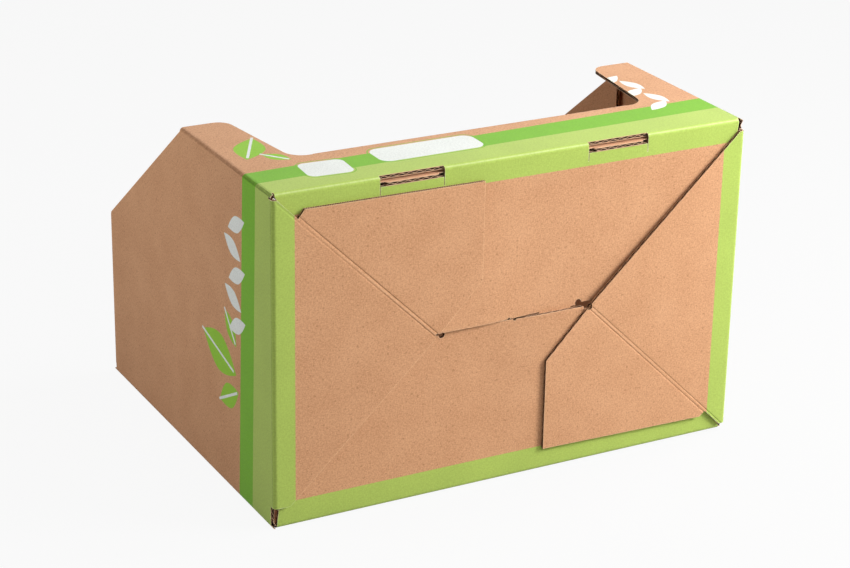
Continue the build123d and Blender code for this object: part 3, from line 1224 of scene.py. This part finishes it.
@dataclass(frozen=True)
class PrintFinish:
    """Kraft paper with green bands along the bottom edges, leaves and blank labels."""

    kraft: KraftFinish
    dark: Colour = srgb(118, 177, 36)
    light: Colour = srgb(172, 194, 94)
    leaf: Colour = srgb(142, 194, 44)
    white: Colour = srgb(228, 231, 226)
    # Pale colour of rubbed folds, also the painted highlight on cut rims and crease ridges; next, the colour
    # of painted shade in score lines and crease grooves and of cracked ink.
    worn: Colour = srgb(214, 226, 168)
    groove_shade_and_cracks: Colour = srgb(92, 122, 40)
    roughness: float = 0.84
    ink_roughness: float = 0.5
    band_top: float = 48.3
    band_middle: float = 27.0
    top_slopes: Point = (0.024, 0.047)
    middle_slopes: Point = (0.016, 0.041)
    wall_lengths: Point = (0.3744, 0.2444)
    edge_blur: float = 0.00012
    border: float = -0.0124
    border_steps: tuple[Point, ...] = ((-0.2477, -0.0007), (-0.0011, 0.0027), (0.3755, -0.0037))
    rib: float = 0.0009
    leaves: tuple[Leaf, ...] = (
        Leaf((23, 94), 62, 46),
        Leaf((33, 71), 128, 24),
        Leaf((-148, 92), 76, 60),
        Leaf((-176, 76), 118, 38),
        Leaf((-122, 72), 40, 30),
        *(Leaf((-40 - 19 * i, 60 + 7 * (i % 2)), 90 + 24 * (-1) ** i, 31, Ink.WHITE, 0.4) for i in range(5)),
        *(Leaf((338 + 9 * (i % 2), 56 + 17 * i), 35 + 70 * (i % 2), 27, Ink.WHITE, 0.4) for i in range(5)),
    )
    labels: tuple[Label, ...] = (Label((54, 36), (11, 8), 6, 4), Label((136, 43), (33, 6), 8))

    def material(self, name: str) -> Material:
        """Returns the finish as a material."""
        material, graph, place, shader = paper_material(name)
        paper, fibres = self.kraft.paint(graph, place)
        ink, inked = self.bands(graph, place)
        for label in self.labels:
            ink, inked = self.print_label(graph, place, label, ink, inked)
        for leaf in self.leaves:
            ink, inked = self.print_leaf(graph, place, leaf, ink, inked)
        shade = graph.step(fibres.outputs["Shade"], 0.3, 0.7, 0.86, 1.1)
        shades = graph.node("ShaderNodeCombineColor", {0: shade, 1: shade, 2: shade}).outputs[0]
        colour = graph.mix(inked, paper, graph.mix(1.0, ink, shades, "MULTIPLY"))
        # Painted shade in score lines and crease grooves, with cracked ink; then pale rubbed folds, with a
        # painted highlight on cut rims and crease ridges.
        wear_and_painted_light = graph.group(wear_and_light_group(), Place=place).outputs
        colour = graph.mix(wear_and_painted_light["Dark"], colour, graph.mix(inked, self.kraft.groove_shade_and_cracks, self.groove_shade_and_cracks))
        colour = graph.mix(wear_and_painted_light["Pale"], colour, graph.mix(inked, self.kraft.worn, self.worn))
        lay_paper(graph, shader, colour, fibres)
        rough = graph.step(inked, 0.0, 1.0, self.roughness, self.ink_roughness)
        graph.feed(shader.inputs["Roughness"], rough)
        return material

    def bands(self, graph: Graph, place: NodeSocket) -> tuple[NodeSocket, NodeSocket]:
        """Adds the two bands and the border on the bottom flaps.

        Args:
            graph: The material's graph.
            place: Places on the blank.

        Returns:
            The ink's colour and where it is printed.
        """
        rough_edge = graph.math("MULTIPLY_ADD", graph.noise(place, 900.0, 1.0), 0.0006, -0.0003)
        parts = graph.node("ShaderNodeSeparateXYZ", {0: place}).outputs
        strip = parts["X"]
        up = graph.math("ADD", parts["Y"], rough_edge)
        ways = [
            graph.math("MINIMUM", graph.math("MAXIMUM", way, 0.0), length)
            for way, length in zip((strip, graph.math("MULTIPLY", strip, -1.0)), self.wall_lengths)
        ]
        top = self.band_line(graph, self.band_top, self.top_slopes, ways)
        middle = self.band_line(graph, self.band_middle, self.middle_slopes, ways)
        bottom = self.border_line(graph, strip)
        below_top, below_middle, above_bottom = (
            graph.step(graph.math("SUBTRACT", high, low), -self.edge_blur, self.edge_blur)
            for high, low in ((top, up), (middle, up), (up, bottom))
        )
        ink = graph.mix(below_middle, self.dark, self.light)
        return ink, graph.math("MULTIPLY", below_top, above_bottom)

    def print_label(
        self, graph: Graph, place: NodeSocket, label: Label, ink: NodeSocket, inked: NodeSocket,
    ) -> tuple[NodeSocket, NodeSocket]:
        """Prints a label over the ink so far, and returns the ink and where it is printed."""
        mask = graph.group(
            label_group(), Place=place, Middle=flat_place(label.middle), Half=flat_place(label.half),
            Round=label.rounding * MILLIMETRE, Turn=math.radians(label.turn),
        ).outputs
        ink = graph.mix(mask["Rim"], ink, self.dark)
        ink = graph.mix(mask["Label"], ink, self.white)
        return ink, graph.math("MAXIMUM", inked, graph.math("MAXIMUM", mask["Rim"], mask["Label"]))

    def print_leaf(
        self, graph: Graph, place: NodeSocket, leaf: Leaf, ink: NodeSocket, inked: NodeSocket,
    ) -> tuple[NodeSocket, NodeSocket]:
        """Prints a leaf over the ink so far, and returns the ink and where it is printed."""
        mask = graph.group(
            leaf_group(), Place=place, Middle=flat_place(leaf.middle), Turn=math.radians(-leaf.turn),
            Length=leaf.length * MILLIMETRE, Plump=leaf.plump, Rib=self.rib,
        ).outputs
        ink = graph.mix(mask["Leaf"], ink, self.leaf if leaf.ink is Ink.GREEN else self.white)
        inked = graph.math("MAXIMUM", inked, mask["Leaf"])
        if leaf.ink is Ink.GREEN:
            ink = graph.mix(mask["Midrib"], ink, self.white)
            inked = graph.math("MAXIMUM", inked, mask["Midrib"])
        return ink, inked

    @staticmethod
    def band_line(graph: Graph, start: float, slopes: Point, ways: list[NodeSocket]) -> NodeSocket:
        """Returns the height of a band's edge along the strip.

        Args:
            graph: The material's graph.
            start: The height at the left front corner, in millimetres.
            slopes: Rise of the edge along the front wall and along the left wall.
            ways: Way from that corner along the front wall and along the left wall.

        Returns:
            The height in metres.
        """
        rise = graph.math("MULTIPLY_ADD", ways[0], slopes[0], graph.math("MULTIPLY", ways[1], slopes[1]))
        return graph.math("ADD", rise, start * MILLIMETRE)

    def border_line(self, graph: Graph, strip: NodeSocket) -> NodeSocket:
        """Returns where the green border ends on the bottom flaps, along the strip."""
        level: Feed = self.border
        for place, change in self.border_steps:
            past = graph.math("GREATER_THAN", strip, place)
            level = graph.math("MULTIPLY_ADD", past, change, level)
        return level


@dataclass(frozen=True)
class Lamp:
    """A square soft lamp.

    Attributes:
        name: The lamp's name.
        place: Where it hangs, in metres.
        aim: The point it shines at.
        size: Its side in metres.
        power: Its power in watts.
    """

    name: str
    place: Triple
    aim: Triple
    size: float
    power: float

    def build(self) -> None:
        """Hangs the lamp."""
        data = bpy.data.lights.new(self.name, "AREA")
        data.shape = "SQUARE"
        data.size = self.size
        data.energy = self.power
        lamp = bpy.data.objects.new(self.name, data)
        lamp.location = self.place
        lamp.rotation_euler = (Vector(self.aim) - Vector(self.place)).to_track_quat("-Z", "Y").to_euler()
        bpy.context.scene.collection.objects.link(lamp)


@dataclass(frozen=True)
class Studio:
    """Plain pale floor, soft light and the camera of the photograph."""

    camera_place: Triple = (-0.8100, -1.5166, 0.7999)
    camera_turn: Triple = (67.779, -0.967, -27.969)
    lens: float = 101.98
    floor_size: float = 60.0
    floor_drop: float = 0.0004
    floor_colour: Colour = (0.42, 0.42, 0.42, 1.0)
    floor_glow: float = 0.92
    world_level: float = 0.12
    lamps: tuple[Lamp, ...] = (
        Lamp("key", (0.80, -0.75, 0.70), (0.05, -0.15, 0.12), 0.5, 15.5),
        Lamp("front", (0.2, -1.6, 1.3), (0.0, -0.1, 0.15), 1.2, 9.8),
        Lamp("fill", (-0.75, 0.12, 0.34), (-0.1, 0.0, 0.15), 0.35, 1.9),
        Lamp("top", (1.0, -0.05, 1.2), (0.0, -0.05, 0.2), 0.6, 12.6),
    )

    def build(self) -> None:
        """Builds the camera, the floor, the lamps and the world."""
        self.build_camera()
        self.build_floor()
        self.build_world()
        for lamp in self.lamps:
            lamp.build()
        bpy.context.scene.view_settings.view_transform = "Standard"

    def build_camera(self) -> None:
        """Builds the camera at the photograph's viewing angle."""
        data = bpy.data.cameras.new("camera")
        data.sensor_width = 36.0
        data.lens = self.lens
        data.clip_end = 100.0
        camera = bpy.data.objects.new("camera", data)
        camera.location = self.camera_place
        camera.rotation_euler = Euler([math.radians(turn) for turn in self.camera_turn])
        bpy.context.scene.collection.objects.link(camera)
        bpy.context.scene.camera = camera

    def build_floor(self) -> None:
        """Builds the floor, which looks white and keeps the shadow."""
        mesh = bmesh.new()
        bmesh.ops.create_grid(mesh, x_segments=1, y_segments=1, size=self.floor_size / 2)
        bmesh.ops.translate(mesh, verts=mesh.verts, vec=(0, 0, -self.floor_drop))
        floor = finished_piece("floor", mesh)
        material = bpy.data.materials.new("pale_floor")
        material.use_nodes = True
        tree = material.node_tree
        graph = Graph(tree)
        shader = next(node for node in tree.nodes if node.type == "BSDF_PRINCIPLED")
        output = next(node for node in tree.nodes if node.type == "OUTPUT_MATERIAL")
        shader.inputs["Base Color"].default_value = self.floor_colour
        shader.inputs["Roughness"].default_value = 0.9
        shader.inputs["Specular IOR Level"].default_value = 0.0
        glow = graph.node("ShaderNodeEmission", {"Color": (1.0, 1.0, 1.0, 1.0), "Strength": 1.0})
        share = graph.math("MULTIPLY", graph.seen(), self.floor_glow)
        mixed = graph.node("ShaderNodeMixShader", {0: share, 1: shader.outputs[0], 2: glow.outputs[0]})
        graph.feed(output.inputs["Surface"], mixed.outputs[0])
        floor.data.materials.append(material)

    def build_world(self) -> None:
        """Builds the world: soft light all round, and white where it is seen."""
        world = bpy.data.worlds.new("studio")
        bpy.context.scene.world = world
        world.use_nodes = True
        graph = Graph(world.node_tree)
        backdrop = next(node for node in world.node_tree.nodes if node.type == "BACKGROUND")
        backdrop.inputs["Color"].default_value = (1.0, 1.0, 1.0, 1.0)
        level = graph.step(graph.seen(), 0.0, 1.0, self.world_level, 1.0)
        graph.feed(backdrop.inputs["Strength"], level)


def write_sizes() -> None:
    bpy.context.view_layer.update()


def main() -> None:
    """Builds the studio and the tray, and reports each piece."""
    logging.basicConfig(level=logging.INFO, format="%(name)s: %(message)s")
    Studio().build()
    tray = FoldedTray()
    pieces = tray.build()
    tray.dress(pieces)
    for piece in pieces:
        LOG.info("%s: %d faces", piece.name, len(piece.data.polygons))
    write_sizes()


if __name__ == "__main__":
    main()
